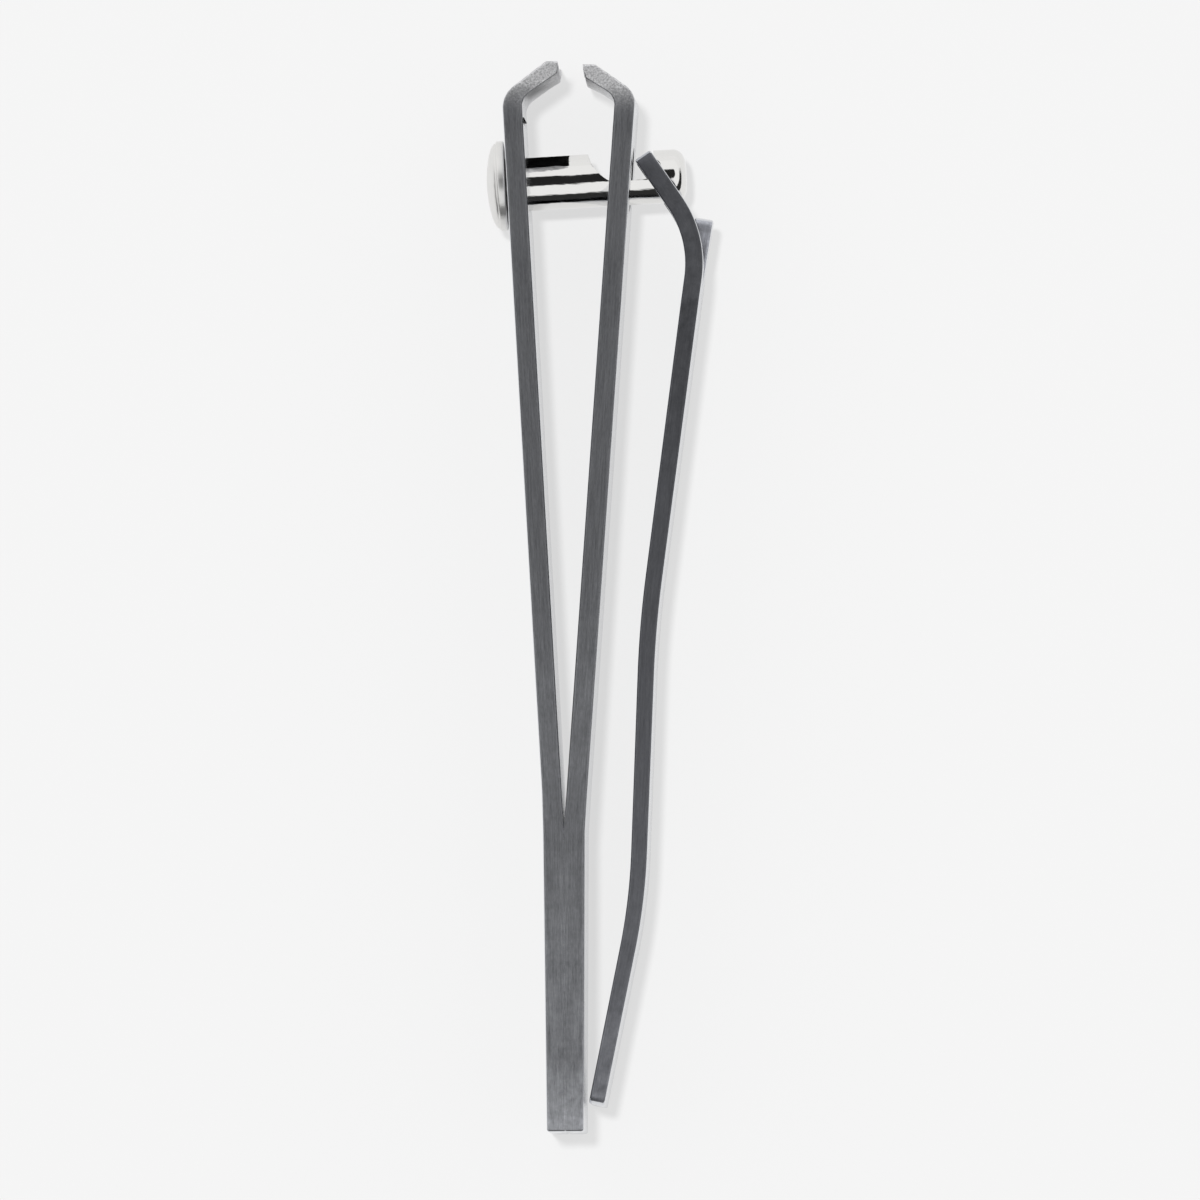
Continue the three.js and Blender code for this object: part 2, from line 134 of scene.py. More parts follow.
def meshFromGrid(name, grid, materials, finishOf):
    # a closed tube of sections: quads between stations and a fan over each end
    stations, ring = grid.shape[:2]
    points = grid.reshape(-1, 3)
    i, j = np.meshgrid(np.arange(stations - 1), np.arange(ring), indexing="ij")
    k = (j + 1) % ring
    near, far = i * ring, (i + 1) * ring
    quads = np.stack([near + j, near + k, far + k, far + j], -1).reshape(-1, 4)
    first, last = len(points), len(points) + 1
    points = np.concatenate([points, grid[[0, -1]].mean(1)])
    j = np.arange(ring)
    k = (j + 1) % ring
    startFan = np.stack([np.full(ring, first), k, j], 1)
    endFan = np.stack([np.full(ring, last), (stations - 1) * ring + j, (stations - 1) * ring + k], 1)
    # the run along the middle and the way round each section, for patterns that follow the strip
    middle = grid.mean(1)
    run = np.concatenate([[0], np.cumsum(np.linalg.norm(np.diff(middle, axis=0), axis=1))])
    closed = np.concatenate([grid, grid[:, :1]], 1)
    sideSteps = np.linalg.norm(np.diff(closed, axis=1), axis=2)
    girth = np.concatenate([np.zeros((stations, 1)), np.cumsum(sideSteps, 1)], 1)
    i, j = np.meshgrid(np.arange(stations - 1), np.arange(ring), indexing="ij")
    quadUv = np.stack([
        np.stack([run[i], girth[i, j]], -1), np.stack([run[i], girth[i, j + 1]], -1),
        np.stack([run[i + 1], girth[i + 1, j + 1]], -1), np.stack([run[i + 1], girth[i + 1, j]], -1),
    ], 2).reshape(-1, 2)
    fanUv = np.zeros((6 * ring, 2))
    for f, (end, at) in enumerate([(0, run[0]), (-1, run[-1])]):
        spread = grid[end] - middle[end]
        flat = np.stack([at + spread[:, 0], spread[:, 2]], 1)
        nextOne = np.roll(flat, -1, 0)
        hub = np.repeat([[at, 0.0]], ring, 0)
        order = [hub, nextOne, flat] if f == 0 else [hub, flat, nextOne]
        fanUv[f * 3 * ring:(f + 1) * 3 * ring] = np.stack(order, 1).reshape(-1, 2)
    # the sign of the enclosed volume tells which way the faces look
    volume = np.einsum("ij,ij->", points[quads[:, 0]], np.cross(points[quads[:, 1]], points[quads[:, 2]]))
    volume += np.einsum("ij,ij->", points[quads[:, 0]], np.cross(points[quads[:, 2]], points[quads[:, 3]]))
    for fan in (startFan, endFan):
        volume += np.einsum("ij,ij->", points[fan[:, 0]], np.cross(points[fan[:, 1]], points[fan[:, 2]]))
    faces = quads.tolist() + startFan.tolist() + endFan.tolist()
    uv = np.concatenate([quadUv, fanUv])
    mesh = bpy.data.meshes.new(name)
    mesh.from_pydata((points * mm).tolist(), [], faces)
    layer = mesh.uv_layers.new(name="run")
    layer.data.foreach_set("uv", uv.astype(np.float32).ravel())
    if volume < 0:
        mesh.flip_normals()
    return finishMesh(name, mesh, materials, finishOf)


def finishMesh(name, mesh, materials, finishOf):
    # gives each face its material by its normal and centre, smooths it and makes the object
    for material in materials:
        mesh.materials.append(material)
    mesh.update()
    normals = np.zeros(len(mesh.polygons) * 3, np.float32)
    mesh.polygons.foreach_get("normal", normals)
    centres = np.zeros(len(mesh.polygons) * 3, np.float32)
    mesh.polygons.foreach_get("center", centres)
    index = finishOf(normals.reshape(-1, 3), centres.reshape(-1, 3) / mm)
    mesh.polygons.foreach_set("material_index", index.astype(np.int32))
    mesh.polygons.foreach_set("use_smooth", np.ones(len(mesh.polygons), bool))
    mesh.set_sharp_from_angle(angle=sharpAngle)
    piece = bpy.data.objects.new(name, mesh)
    bpy.context.scene.collection.objects.link(piece)
    return piece


def prism(name, outline, low, high, matrix=None):
    # an outline on x and y between two heights, as a tool for cutting
    n = len(outline)
    points = np.concatenate([
        np.column_stack([outline, np.full(n, low)]), np.column_stack([outline, np.full(n, high)]),
    ])
    if matrix is not None:
        points = points @ matrix[0].T + matrix[1]
    faces = [list(range(n))[::-1], list(range(n, 2 * n))]
    faces += [[i, (i + 1) % n, n + (i + 1) % n, n + i] for i in range(n)]
    mesh = bpy.data.meshes.new(name)
    mesh.from_pydata((points * mm).tolist(), [], faces)
    mesh.update()
    tool = bpy.data.objects.new(name, mesh)
    bpy.context.scene.collection.objects.link(tool)
    return tool


def rod(name, start, end, radius, sides=96):
    # a round bar between two points
    along = unit(end - start)
    other = [0.0, 0.0, 1.0] if abs(along[2]) < 0.9 else [0.0, 1.0, 0.0]
    aside = unit(np.cross(along, other))
    third = np.cross(along, aside)
    angle = np.arange(sides) / sides * 2 * math.pi
    outline = radius * np.stack([np.cos(angle), np.sin(angle)], 1)
    return prism(name, outline, 0, np.linalg.norm(end - start), (np.stack([aside, third, along], 1), start))


def combine(piece, tool, operation):
    # joins or cuts a piece with a tool, then removes the tool
    for material in piece.data.materials:
        if material.name not in [m.name for m in tool.data.materials]:
            tool.data.materials.append(material)
    modifier = piece.modifiers.new("cut", "BOOLEAN")
    modifier.object = tool
    modifier.operation = operation
    modifier.solver = "EXACT"
    depsgraph = bpy.context.evaluated_depsgraph_get()
    depsgraph.update()
    mesh = bpy.data.meshes.new_from_object(piece.evaluated_get(depsgraph))
    piece.modifiers.clear()
    piece.data = mesh
    mesh.set_sharp_from_angle(angle=sharpAngle)
    bpy.data.objects.remove(tool)
    return piece


def setAttribute(piece, name, valueAt):
    # a value for each vertex, worked out from its place
    places = np.zeros(len(piece.data.vertices) * 3, np.float32)
    piece.data.vertices.foreach_get("co", places)
    values = valueAt(places.reshape(-1, 3) / mm)
    piece.data.attributes.new(name, "FLOAT", "POINT").data.foreach_set("value", values.astype(np.float32))


def weightNormals(piece):
    modifier = piece.modifiers.new("flats", "WEIGHTED_NORMAL")
    modifier.keep_sharp = True
    modifier.weight = 80


def nodeMaterial(name):
    material = bpy.data.materials.new(name)
    material.use_nodes = True
    tree = material.node_tree
    return material, tree, tree.nodes["Principled BSDF"]


def streaks(tree, lengthwise, crosswise, detail):
    # noise on the strip's own run and girth, drawn out along the run
    uv = tree.nodes.new("ShaderNodeUVMap")
    uv.uv_map = "run"
    mapping = tree.nodes.new("ShaderNodeMapping")
    mapping.inputs["Scale"].default_value = (lengthwise, crosswise, 1)
    noise = tree.nodes.new("ShaderNodeTexNoise")
    noise.inputs["Scale"].default_value = 1
    noise.inputs["Detail"].default_value = detail
    noise.inputs["Roughness"].default_value = 0.6
    tree.links.new(uv.outputs["UV"], mapping.inputs["Vector"])
    tree.links.new(mapping.outputs["Vector"], noise.inputs["Vector"])
    return noise.outputs["Fac"]


def ranged(tree, value, low, high, fromLow=0.3, fromHigh=0.7):
    node = tree.nodes.new("ShaderNodeMapRange")
    node.inputs["From Min"].default_value = fromLow
    node.inputs["From Max"].default_value = fromHigh
    node.inputs["To Min"].default_value = low
    node.inputs["To Max"].default_value = high
    tree.links.new(value, node.inputs["Value"])
    return node.outputs["Result"]


def attributeOf(tree, name):
    node = tree.nodes.new("ShaderNodeAttribute")
    node.attribute_name = name
    return node.outputs["Fac"]


def mathOf(tree, operation, a, b, c=None):
    node = tree.nodes.new("ShaderNodeMath")
    node.operation = operation
    for socket, value in zip(node.inputs, (a, b, c)):
        if isinstance(value, (int, float)):
            socket.default_value = value
        elif value is not None:
            tree.links.new(value, socket)
    return node.outputs["Value"]


def mixOf(tree, share, a, b):
    # a number or a colour between a and b
    node = tree.nodes.new("ShaderNodeMix")
    node.data_type = "RGBA"
    for name, value in (("Factor", share), ("A", a), ("B", b)):
        if isinstance(value, tuple):
            node.inputs[name].default_value = value
        else:
            tree.links.new(value, node.inputs[name])
    return node.outputs["Result"]


def grit(tree, size, detail):
    # speckle of a given size in millimetres, the same in every direction
    place = tree.nodes.new("ShaderNodeTexCoord")
    noise = tree.nodes.new("ShaderNodeTexNoise")
    noise.inputs["Scale"].default_value = 1000 / size
    noise.inputs["Detail"].default_value = detail
    noise.inputs["Roughness"].default_value = 0.65
    tree.links.new(place.outputs["Object"], noise.inputs["Vector"])
    return noise.outputs["Fac"]


def addBump(tree, shader, height, strength, distance):
    bump = tree.nodes.new("ShaderNodeBump")
    bump.inputs["Strength"].default_value = strength
    bump.inputs["Distance"].default_value = distance * mm
    tree.links.new(height, bump.inputs["Height"])
    tree.links.new(bump.outputs["Normal"], shader.inputs["Normal"])


groundSteel = dict(
    dark=(0.122, 0.125, 0.133), light=(0.25, 0.255, 0.268), roughness=(0.42, 0.56), bump=0.25,
    jaw=(0.9, 0.9, 0.91), jawDark=(0.4, 0.4, 0.41),
    fine=(0.35, 9, 3), broad=(0.12, 1.1, 2), grain=(2.2, 13, 2),      # streaks: along, across, detail
    blotch=(0.9, 3), speckle=(0.13, 6),                               # grit: size, detail
)
leverSteel = dict(groundSteel, dark=(0.115, 0.118, 0.13), light=(0.18, 0.184, 0.198))


def groundSteelMaterial(name, look):
    # the strip's sides, ground flush and brushed lengthwise, and coarser ground on the jaws
    material, tree, shader = nodeMaterial(name)
    shader.inputs["Metallic"].default_value = 1
    fine = streaks(tree, *look["fine"])
    broad = streaks(tree, *look["broad"])
    grain = streaks(tree, *look["grain"])
    share = mathOf(tree, "MULTIPLY_ADD", ranged(tree, fine, 0, 1), 0.4, ranged(tree, broad, 0, 0.25))
    share = mathOf(tree, "MULTIPLY_ADD", ranged(tree, grain, 0, 1), 0.35, share)
    brushed = mixOf(tree, share, (*look["dark"], 1), (*look["light"], 1))
    lighter = tree.nodes.new("ShaderNodeVectorMath")
    lighter.operation = "SCALE"
    tree.links.new(brushed, lighter.inputs["Vector"])
    blotch = ranged(tree, grit(tree, *look["blotch"]), 0.6, 1.4)
    # the tone attribute scales the sides' colour; on the lever's tongue it carries a painted highlight
    gain = mathOf(tree, "MULTIPLY_ADD", attributeOf(tree, "tone"), blotch, 1)
    tree.links.new(gain, lighter.inputs["Scale"])
    speckle = grit(tree, *look["speckle"])
    coarse = mixOf(tree, ranged(tree, speckle, 0, 1, 0.3, 0.66), (*look["jawDark"], 1), (*look["jaw"], 1))
    worn = mathOf(tree, "ADD", attributeOf(tree, "rough"), ranged(tree, speckle, -0.25, 0.25))
    jawMix = mathOf(tree, "MULTIPLY", worn, attributeOf(tree, "rough"))
    tree.links.new(mixOf(tree, jawMix, lighter.outputs["Vector"], coarse), shader.inputs["Base Color"])
    tree.links.new(ranged(tree, fine, *look["roughness"]), shader.inputs["Roughness"])
    height = mathOf(tree, "MULTIPLY_ADD", attributeOf(tree, "rough"), speckle, fine)
    addBump(tree, shader, height, look["bump"], 0.03)
    return material


polishedSteel = dict(
    colour=(0.68, 0.69, 0.715), roughness=(0.1, 0.24), bump=0.22,
    jaw=(0.85, 0.85, 0.86), jawDark=(0.45, 0.45, 0.46), fine=(0.15, 5, 3), speckle=(0.28, 5),
)


def polishedSteelMaterial(name, look):
    # the strip's broad faces, polished over faint lengthwise rolling lines, and coarser on the jaws
    material, tree, shader = nodeMaterial(name)
    shader.inputs["Metallic"].default_value = 1
    fine = streaks(tree, *look["fine"])
    speckle = grit(tree, *look["speckle"])
    coarse = mixOf(tree, ranged(tree, speckle, 0, 1, 0.36, 0.62), (*look["jawDark"], 1), (*look["jaw"], 1))
    rough = attributeOf(tree, "rough")
    tree.links.new(mixOf(tree, rough, (*look["colour"], 1), coarse), shader.inputs["Base Color"])
    roughness = mathOf(tree, "MULTIPLY_ADD", rough, 0.3, ranged(tree, fine, *look["roughness"]))
    tree.links.new(roughness, shader.inputs["Roughness"])
    addBump(tree, shader, mathOf(tree, "MULTIPLY_ADD", rough, speckle, fine), look["bump"], 0.02)
    return material


postPlating = dict(
    colour=(0.8, 0.795, 0.78), roughness=(0.03, 0.1), bump=0.6,
    headRoughness=0.3, headEnds=1.45, headFades=0.15,      # satin, up to this run on the turned shape
)


def postPlatingMaterial(name, look):
    # bright plating, a little uneven along the shank, satin on the head
    material, tree, shader = nodeMaterial(name)
    shader.inputs["Metallic"].default_value = 1
    shader.inputs["Base Color"].default_value = (*look["colour"], 1)
    place = tree.nodes.new("ShaderNodeTexCoord")
    mapping = tree.nodes.new("ShaderNodeMapping")
    mapping.inputs["Scale"].default_value = (230, 900, 900)
    noise = tree.nodes.new("ShaderNodeTexNoise")
    noise.inputs["Scale"].default_value = 1
    noise.inputs["Detail"].default_value = 4
    tree.links.new(place.outputs["Object"], mapping.inputs["Vector"])
    tree.links.new(mapping.outputs["Vector"], noise.inputs["Vector"])
    run = tree.nodes.new("ShaderNodeUVMap")
    run.uv_map = "run"
    split = tree.nodes.new("ShaderNodeSeparateXYZ")
    tree.links.new(run.outputs["UV"], split.inputs["Vector"])
    satinEnd = look["headEnds"] + look["headFades"]
    onHead = ranged(tree, split.outputs["X"], look["headRoughness"], 0, look["headEnds"], satinEnd)
    roughness = mathOf(tree, "ADD", onHead, ranged(tree, noise.outputs["Fac"], *look["roughness"]))
    tree.links.new(roughness, shader.inputs["Roughness"])
    addBump(tree, shader, noise.outputs["Fac"], look["bump"], 0.06)
    return material


def weldSteelMaterial(name):
    # fused steel, dull and a little blotched
    material, tree, shader = nodeMaterial(name)
    shader.inputs["Metallic"].default_value = 1
    place = tree.nodes.new("ShaderNodeTexCoord")
    noise = tree.nodes.new("ShaderNodeTexNoise")
    noise.inputs["Scale"].default_value = 1500
    noise.inputs["Detail"].default_value = 4
    tree.links.new(place.outputs["Object"], noise.inputs["Vector"])
    ramp = tree.nodes.new("ShaderNodeValToRGB")
    ramp.color_ramp.elements[0].color = (0.16, 0.15, 0.15, 1)
    ramp.color_ramp.elements[1].color = (0.34, 0.33, 0.34, 1)
    tree.links.new(noise.outputs["Fac"], ramp.inputs["Fac"])
    tree.links.new(ramp.outputs["Color"], shader.inputs["Base Color"])
    tree.links.new(ranged(tree, noise.outputs["Fac"], 0.5, 0.8), shader.inputs["Roughness"])
    return material


leafSides = groundSteelMaterial("leafSides", groundSteel)
leafFaces = polishedSteelMaterial("leafFaces", polishedSteel)
leverSides = groundSteelMaterial("leverSides", leverSteel)
leverFaces = polishedSteelMaterial("leverFaces", polishedSteel)
plating = postPlatingMaterial("plating", postPlating)
weldSteel = weldSteelMaterial("weldSteel")
print("stage: finishes made")


def sidesAndFaces(normals, centres):
    # 0 for the ground sides, 1 for the polished faces
    return np.where(np.abs(normals[:, 2]) > 0.75, 0, 1)


leafShape = dict(
    tailLength=22.4, tailEndHalf=1.38, rootHalf=1.56, rootBlend=3.0, width=14.0,
    edge=0.17, seamEdge=0.012, innerBend=1.2, knifeShare=0.35,
    jawEdgeHalf=6.2, jawShoulderDrop=4.6, edgeHollow=0.7, hollowLength=2.6,
    jawRough=3.9, jawRoughFade=2.4,          # how far back from the tip the rough grinding reaches
    weldInset=5.5, weldPitch=9.0, weldMark=1.6, weldDepth=0.07, weldRim=0.12,
    innerBlendFrom=-0.4, innerBlend=2.4,     # where the sharp seam edge turns into the rounded one
    across=30, up=7, corner=5, endRounds=5,  # points of one section and of the end's rounding
    stations=dict(tail=84, root=14, arm=190, bend=16, jaw=22, tip=5),
)
lowerShape = dict(
    side=-1, splay=3.0, stock=1.47, bendAt=54.92, bendRadius=2.0,
    jawAngle=37.6, jawLength=4.15, jawRoot=1.04, bevel=0.86, cut=0.43, lip=0.54, hole=2.1,
)
upperShape = dict(
    side=1, splay=4.27, stock=1.53, bendAt=55.04, bendRadius=1.6,
    jawAngle=35.4, jawLength=3.71, jawRoot=1.04, bevel=0.93, cut=0.0, lip=1.08, hole=2.4,
)


def leafLines(leaf):
    # the inner and outer lines of one leaf, station by station from the tail's end to the cutting edge
    side, slope = leaf["side"], math.tan(math.radians(leaf["splay"]))
    outOffset = leaf["stock"] / math.cos(math.radians(leaf["splay"]))

    def innerAt(y):
        return np.array([side * slope * y, y])

    def outerAt(y):
        return np.array([side * (slope * y + outOffset), y])

    rise = math.radians(leaf["jawAngle"])
    along = np.array([-side * math.cos(rise), math.sin(rise)])
    inward = np.array([-side * math.sin(rise), -math.cos(rise)])
    outerCorner = outerAt(leaf["bendAt"])
    shoulder = outerCorner + along * leaf["jawLength"]
    # the bevel, the cutting edge and the face behind it, each as a step sideways and along
    crest = shoulder + np.array([-side * leaf["bevel"], 0.02])
    tip = crest + np.array([-side * leaf["cut"] * 0.14, -leaf["cut"] * 0.99])
    lip = tip + np.array([side * leaf["lip"] * 0.2, -leaf["lip"] * 0.97])
    inside = outerCorner + inward * leaf["jawRoot"]
    jawSlope = (lip[1] - inside[1]) / (lip[0] - inside[0])
    innerCorner = innerAt((inside[1] - jawSlope * inside[0]) / (1 - jawSlope * side * slope))
    count = leafShape["stations"]
    innerArc = cornerArc(innerAt(0), innerCorner, lip, leafShape["innerBend"], count["bend"])
    outerArc = cornerArc(outerAt(0), outerCorner, shoulder, leaf["bendRadius"], count["bend"])
    length, blend = leafShape["tailLength"], leafShape["rootBlend"]
    zero = np.zeros(2)
    tailEnd, tailRoot = side * leafShape["tailEndHalf"], side * leafShape["rootHalf"]
    innerTip = tip if leaf["cut"] else lip + (crest - lip) * leafShape["knifeShare"]
    innerRuns = [
        straight(np.array([0, -length]), zero, count["tail"]),
        straight(zero, innerAt(blend), count["root"]),
        straight(innerAt(blend), innerArc[0], count["arm"]), innerArc,
        straight(innerArc[-1], lip, count["jaw"]), straight(lip, innerTip, count["tip"]),
    ]
    outerRuns = [
        straight(np.array([tailEnd, -length]), np.array([tailRoot, 0]), count["tail"]),
        straight(np.array([tailRoot, 0]), outerAt(blend), count["root"]),
        straight(outerAt(blend), outerArc[0], count["arm"]), outerArc,
        straight(outerArc[-1], shoulder, count["jaw"]), straight(shoulder, crest, count["tip"]),
    ]
    return joinRuns(innerRuns), joinRuns(outerRuns)


def leafTone(y):
    # how much lighter than on the arms the ground sides are, by the way from the V's root
    ways = [-22.35, -22.2, -19.5, -17, -9, -1, 10, 20]
    return np.interp(y, ways, [-0.7, 1.7, 1.1, 0.55, 0.5, 0.25, 0.3, 0])


def jawShare(y, tipY):
    # 0 on the arm, rising to 1 on the rough-ground jaw
    return np.clip((y - (tipY - leafShape["jawRough"])) / leafShape["jawRoughFade"], 0, 1)


def makeLeaf(name, leaf, nodes, throughHole):
    # sections between the two lines, narrowing to the cutting edge, then the post's hole
    inner, outer = leafLines(leaf)
    tipY = max(inner[-1, 1], outer[-1, 1])
    y = (inner[:, 1] + outer[:, 1]) / 2
    shoulderAt = tipY - leafShape["jawShoulderDrop"]
    fullHalf = leafShape["width"] / 2
    narrowing = np.clip((y - shoulderAt) / leafShape["jawShoulderDrop"], 0, 1)
    halfWidth = fullHalf - (fullHalf - leafShape["jawEdgeHalf"]) * narrowing ** 1.25
    # the tail's cut end is rounded over the edge radius
    edge = leafShape["edge"]
    rounds = leafShape["endRounds"]
    angle = np.linspace(0, math.pi / 2, rounds)
    drop = edge * (1 - np.sin(angle))
    endY = inner[0, 1] + edge - edge * np.sin(math.pi / 2 - angle)
    keep = y > endY[-1] + 0.01
    ends = np.stack([np.zeros(rounds), endY], 1)
    endOuter = np.stack([np.full(rounds, outer[0, 0]), endY], 1)
    inner, outer = np.concatenate([ends, inner[keep]]), np.concatenate([endOuter, outer[keep]])
    halfWidth = np.concatenate([np.full(rounds, fullHalf), halfWidth[keep]])
    inset = np.concatenate([drop, np.zeros(keep.sum())])
    section = roundedSection(leafShape["across"], leafShape["up"], leafShape["corner"])
    # the two tails were ground flush together, so their edges at the seam are sharp
    seam = leafShape["seamEdge"]
    armShare = np.clip((inner[:, 1] - leafShape["innerBlendFrom"]) / leafShape["innerBlend"], 0, 1)
    innerEdge = seam + (edge - seam) * armShare
    grid = carrySection(inner, outer, halfWidth, 0, edge, inset, section, innerEdge)
    # the cutting edge is hollow: its middle is set back, more towards the tip
    yGrid, zGrid = grid[..., 1], grid[..., 2]
    hollowLength = leafShape["hollowLength"]
    hollow = np.clip((yGrid - (tipY - hollowLength)) / hollowLength, 0, 1) ** 1.5
    grid[..., 1] -= leafShape["edgeHollow"] * hollow * (1 - (zGrid / leafShape["jawEdgeHalf"]) ** 2).clip(0)
    # the welds leave shallow round marks in the tail's outer face
    outerSide = np.clip((leaf["side"] * grid[..., 0] - 0.6) / 0.6, 0, 1)
    for weld in range(2):
        at = -leafShape["tailLength"] + leafShape["weldInset"] + weld * leafShape["weldPitch"]
        distance = np.hypot(yGrid - at, zGrid)
        mark = 1 / (1 + np.exp((distance - leafShape["weldMark"]) / leafShape["weldRim"]))
        grid[..., 0] -= leaf["side"] * leafShape["weldDepth"] * mark * outerSide
    grid[..., 0] += root[0]
    grid[..., 1] += root[1]
    grid[..., 2] += root[2]
    piece = meshFromGrid(name, grid, [leafSides, leafFaces], sidesAndFaces)
    start, end = throughHole
    combine(piece, rod(name + "Hole", start, end, leaf["hole"]), "DIFFERENCE")
    setAttribute(piece, "tone", lambda places: leafTone(places[:, 1] - root[1]))
    setAttribute(piece, "rough", lambda places: jawShare(places[:, 1] - root[1], tipY))
    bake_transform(piece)
    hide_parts(*nodes)
    return piece


# the upper leaf's hole stands square to it, where the post's axis crosses its middle
upperLean = math.radians(upperShape["splay"])
upperNormal = np.array([math.cos(upperLean), -math.sin(upperLean), 0])
gapAngle = math.radians(lowerShape["splay"] + upperShape["splay"])
footDistance = np.linalg.norm(postFoot[:2] - root[:2])
crossing = postFoot + postAxis * (footDistance * math.tan(gapAngle) + upperShape["stock"] / 2)
lowerLeaf = makeLeaf(
    "lowerLeaf", lowerShape, ["lower_leaf_tail", "lower_leaf_arm"],
    (postFoot - 3 * postAxis, postFoot + 2 * postAxis),
)
upperLeaf = makeLeaf(
    "upperLeaf", upperShape, ["upper_leaf_tail", "upper_leaf_arm"],
    (crossing - 3 * upperNormal, crossing + 3 * upperNormal),
)
print("stage: leaves made")


pivotHeight, pivotOffset = (pivot - postFoot) @ postAxis, (pivot - postFoot) @ jawAxis
postShape = dict(
    radius=2.0, headRadius=3.35, headRim=0.65, headHeight=1.45, headPlay=0.19, rimRound=0.16, neck=0.12,
    shoulder=pivotHeight + 1.59, height=pivotHeight + 2.59, crown=0.55, domeFullness=0.9,
    notchRadius=3.2, notchFloor=0.62, notchSetback=1.55, seatRadius=0.77, lipOverhang=75,
    edge=0.06, edgeSegments=2, sides=120,
)


def postProfile():
    # radius and height of the turned shape, from the head's dome to the crown
    s = postShape
    base = -lowerShape["stock"] - s["headPlay"]
    rimLow = base - s["headRim"]
    bulge, corner = s["headHeight"] - s["headRim"], s["rimRound"]
    dome = np.linspace(0, 1, 26)
    domeR = (s["headRadius"] - corner) * np.sin(dome * math.pi / 2)
    domeH = base - s["headHeight"] + bulge * (1 - np.cos(dome * math.pi / 2)) ** s["domeFullness"]
    turn = np.linspace(0, math.pi / 2, 6)
    rim = [
        (s["headRadius"] - corner * (1 - math.sin(a)), rimLow + corner * (1 - math.cos(a)))
        for a in turn[1:]
    ]
    under = [
        (s["headRadius"] - corner * (1 - math.cos(a)), base - corner * (1 - math.sin(a)))
        for a in turn
    ]
    neck = [(s["radius"] + s["neck"], base), (s["radius"], base + s["neck"])]
    shank = [(s["radius"], h) for h in np.linspace(base + 0.3, s["shoulder"], 40)]
    rise = s["height"] - s["shoulder"]
    crownTurn = np.linspace(0, math.pi / 2, 22)[1:]
    crown = [
        (s["radius"] * math.cos(a) ** s["crown"], s["shoulder"] + rise * math.sin(a))
        for a in crownTurn
    ]
    crown[-1] = (0.0, s["height"])
    return np.array(list(zip(domeR, domeH)) + rim + under + neck + shank + crown)


def onPost(height, towardsJaws, z):
    # post coordinates to the frame
    height, towardsJaws, z = (v[..., None] for v in np.broadcast_arrays(height, towardsJaws, z))
    return postFoot + height * postAxis + towardsJaws * jawAxis + z * np.array([0, 0, 1.0])


def notchOutline():
    # the notch's round runs into the seat, which curls over at the lip: height and offset to the jaws
    s = postShape
    centre = np.array([pivotHeight - s["notchSetback"], s["notchRadius"] - s["notchFloor"]])
    outside = 1.5 * s["radius"]      # beyond the post, where the notch is open
    openAngle = math.acos((outside - centre[1]) / s["notchRadius"])
    meetAngle = math.pi - math.asin(s["notchSetback"] / s["notchRadius"]) + 0.06
    turn = np.linspace(-openAngle, -meetAngle, 60)
    notch = centre + s["notchRadius"] * np.stack([np.sin(turn), np.cos(turn)], 1)
    lip = math.radians(90 + s["lipOverhang"])
    turn = np.linspace(-math.pi, -math.pi + lip, 40)
    seatMiddle = np.array([pivotHeight, pivotOffset])
    seat = seatMiddle + s["seatRadius"] * np.stack([-np.sin(turn), np.cos(turn)], 1)
    return np.concatenate([notch, seat, [[seat[-1, 0], outside]]])


def makePost():
    # the profile turned about the post's axis, then the notch and the seat cut across it
    profile = postProfile()
    angle = np.arange(postShape["sides"]) / postShape["sides"] * 2 * math.pi
    radius, height = profile[1:-1].T
    grid = onPost(height[:, None], radius[:, None] * np.cos(angle), radius[:, None] * np.sin(angle))
    piece = meshFromGrid("postTurned", grid, [plating], lambda normals, centres: np.zeros(len(normals)))
    # x and y of the outline stand for height and offset, and it is cut through the post's width
    basis = np.stack([postAxis, jawAxis, np.array([0, 0, 1.0])], 1)
    combine(piece, prism("notch", notchOutline(), -3, 3, (basis, postFoot)), "DIFFERENCE")
    piece.name = "hookedPost"
    bevel = piece.modifiers.new("edges", "BEVEL")
    bevel.width = postShape["edge"] * mm
    bevel.segments = postShape["edgeSegments"]
    bevel.limit_method = "ANGLE"
    bevel.angle_limit = math.radians(35)
    weightNormals(piece)
    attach(piece, "post")
    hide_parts("post")
    return piece


post = makePost()
print("stage: post made")


leverShape = dict(
    frontThickness=1.38, endThickness=1.17, noseLength=1.14, noseHalf=3.0, noseRound=0.35, endRound=0.9,
    half=6.0, edge=0.16, slotHalf=2.3, slit=0.4, crossbar=0.68,
    endInset=2.0, endStandoff=0.32,
    tongueRoot=4.8, tongueLength=6.3, tongueRise=1.5, tongueThickness=1.37, tongueCorner=0.5,
    widens=11,                       # past the pivot, until the lever has its full width
)
# straights: heading off the leaves, length plus a share of the reach, and the bend radius after it
leverRun = [
    dict(heading=34.2, length=7.5, share=0, bend=8.2),
    dict(heading=-7.7, length=0, share=0.419, bend=80),
    dict(heading=-2.45, length=0, share=0.293, bend=45),
]


def headingVector(degrees):
    return np.array([math.sin(math.radians(degrees)), -math.cos(math.radians(degrees))])


def leverCorners():
    # corners of the centre line about the pivot, from the nose to the end beside the tail
    s = leverShape
    endY = s["endInset"] - leafShape["tailLength"]
    alongTail = -endY / leafShape["tailLength"]
    tailHalf = np.interp(alongTail, [0, 1], [leafShape["rootHalf"], leafShape["tailEndHalf"]])
    end = root[:2] + [tailHalf + s["endStandoff"] + s["endThickness"] / 2, endY] - pivot[:2]
    corners = [-headingVector(leverRun[0]["heading"]) * s["noseLength"]]
    for piece in leverRun:
        way = piece["length"] - piece["share"] * end[1]
        corners.append(corners[-1] + headingVector(piece["heading"]) * way)
    return np.array(corners + [end])


